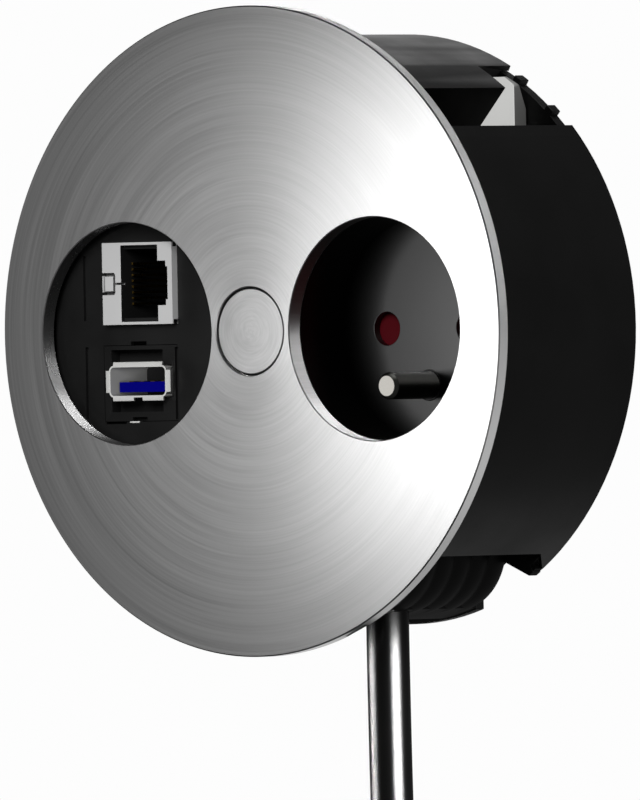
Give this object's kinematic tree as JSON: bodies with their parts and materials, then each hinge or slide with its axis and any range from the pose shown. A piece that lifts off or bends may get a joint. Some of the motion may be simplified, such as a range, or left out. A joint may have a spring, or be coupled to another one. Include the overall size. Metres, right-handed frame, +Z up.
{
  "type": "built-in socket unit",
  "caption": "Round flush-mounted socket unit with a turning steel cover over a mains socket, a network jack and a USB port, and a supply lead below.",
  "frame": {"origin": "centre of the panel seat, where the axis of the round body meets the plane of the flange's rear face", "axes": "the cover faces -Y, the body reaches back along +Y into the panel, +X is to the right seen from the front, +Z is up"},
  "size_m": [0.115, 0.0437, 0.3465],
  "materials": {
    "cover_steel": "brushed in circles round the centre",
    "button_steel": "brushed in circles round the centre",
    "black_shell": "moulded, fine spark-eroded grain",
    "black_moulding": "moulded",
    "black_plate": "moulded, smooth",
    "black_well": "moulded, smooth",
    "black_back": "moulded",
    "black_barrel": "moulded, ribbed",
    "white_moulding": "moulded thermoset",
    "bearing_white": "moulded acetal",
    "claw_grey": "moulded, light grey",
    "screw_steel": "zinc plated",
    "spring_steel": "drawn and formed",
    "contact_brass": "stamped",
    "pin_nickel": "nickel plated, turned",
    "shutter_red": "moulded",
    "jack_grey": "moulded, light grey",
    "gold_wire": "gold flashed wire",
    "usb_steel": "stamped, tin plated",
    "usb_blue": "moulded",
    "cable_black": "extruded, glossy",
    "wire_blue": "extruded",
    "wire_green": "extruded",
    "wire_brown": "extruded",
    "connector_black": "moulded"
  },
  "bodies": {
    "root": {"housing": "black_shell", "front_plate": "black_plate", "plate_screws": "screw_steel", "hub_bush": "bearing_white", "back_cover": "black_back", "back_screws": "screw_steel", "socket_insert": "black_well", "shutter_spring": "spring_steel", "socket_back": "white_moulding", "socket_screws": "screw_steel", "contact_neutral": "contact_brass", "contact_live": "contact_brass", "earth_pin": "pin_nickel", "terminal_screws": "screw_steel", "jack_body": "jack_grey", "jack_contacts": "gold_wire", "usb_insert": "black_plate", "usb_shell": "usb_steel", "usb_tongue": "usb_blue", "usb_contacts": "gold_wire", "cable_barrel": "black_barrel", "barrel_cap": "black_barrel", "cable_clamp": "black_moulding", "cable_clamp_screws": "screw_steel", "cable_sheath": "cable_black", "power_cable": "cable_black", "wire_neutral": "wire_blue", "wire_earth": "wire_green", "wire_live": "wire_brown", "connector_body": "connector_black", "connector_pins": "pin_nickel", "connector_latch": "connector_black"},
    "cover": {"cover_plate": "cover_steel", "cover_carrier": "black_moulding", "hub_clip": "spring_steel", "lock_spring": "spring_steel"},
    "button": {"button_cap": "button_steel", "button_stem": "black_moulding", "button_spring": "spring_steel"},
    "shutter": {"safety_shutter": "shutter_red"},
    "clamp_1": {"clamp_claw_1": "claw_grey", "clamp_screw_1": "screw_steel"},
    "clamp_2": {"clamp_claw_2": "claw_grey", "clamp_screw_2": "screw_steel"},
    "clamp_3": {"clamp_claw_3": "claw_grey", "clamp_screw_3": "screw_steel"}
  },
  "joints": [
    {"name": "cover_turn", "type": "hinge", "parent": "root", "child": "cover", "pos_m": [0, 0, 0], "axis": [0, -1, 0], "range_deg": [0, 90], "deforming": ["lock_spring"]},
    {"name": "button_press", "type": "slide", "parent": "cover", "child": "button", "axis": [0, 1, 0], "range_m": [0, 0.001], "stiffness_N_per_m": 300, "springref_m": -0.002, "deforming": ["button_spring", "lock_spring"]},
    {"name": "shutter_turn", "type": "hinge", "parent": "root", "child": "shutter", "pos_m": [0.0287, 0.0146, 0], "axis": [0, -1, 0], "range_deg": [0, 35], "stiffness_Nm_per_rad": 0.003, "springref_deg": -11.46, "deforming": ["shutter_spring"]},
    {"name": "claw_swing_1", "type": "hinge", "parent": "root", "child": "clamp_1", "pos_m": [0.02566, 0.0176, 0.0287], "axis": [0, 1, 0], "range_deg": [0, 41.8]},
    {"name": "claw_swing_2", "type": "hinge", "parent": "root", "child": "clamp_2", "pos_m": [-0.02566, 0.0176, 0.0287], "axis": [0, -1, 0], "range_deg": [0, 41.8]},
    {"name": "claw_swing_3", "type": "hinge", "parent": "root", "child": "clamp_3", "pos_m": [-0.02566, 0.0176, -0.0287], "axis": [0, 1, 0], "range_deg": [0, 41.8]}
  ]
}
